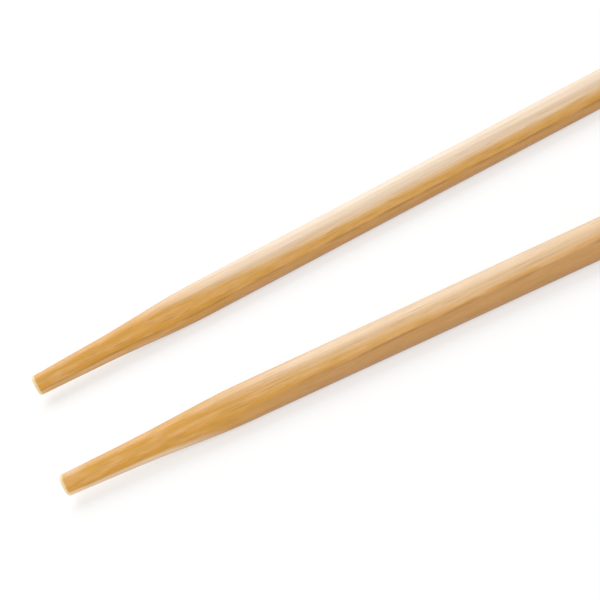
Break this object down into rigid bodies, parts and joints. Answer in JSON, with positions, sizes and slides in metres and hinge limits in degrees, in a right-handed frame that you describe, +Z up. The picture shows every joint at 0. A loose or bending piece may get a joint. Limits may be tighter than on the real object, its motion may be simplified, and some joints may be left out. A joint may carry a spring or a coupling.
{
  "type": "pair of chopsticks",
  "caption": "Pair of round bamboo chopsticks: straight rods with a long cylindrical body, a short taper and a blunt tip, laid side by side with the tips a bite apart.",
  "frame": {"origin": "on the table, in the middle of the pair's footprint", "axes": "+X along the pair from the tips to the handle ends, +Y from the front chopstick to the back one, +Z up from the table"},
  "size_m": [0.2324, 0.0664, 0.0055],
  "materials": {
    "bamboo": "bare bamboo, sanded and tumbled smooth, with a soft satin sheen and fine darker fibre streaks along the grain"
  },
  "bodies": {
    "root": {"front_chopstick": "bamboo", "back_chopstick": "bamboo"}
  },
  "joints": []
}
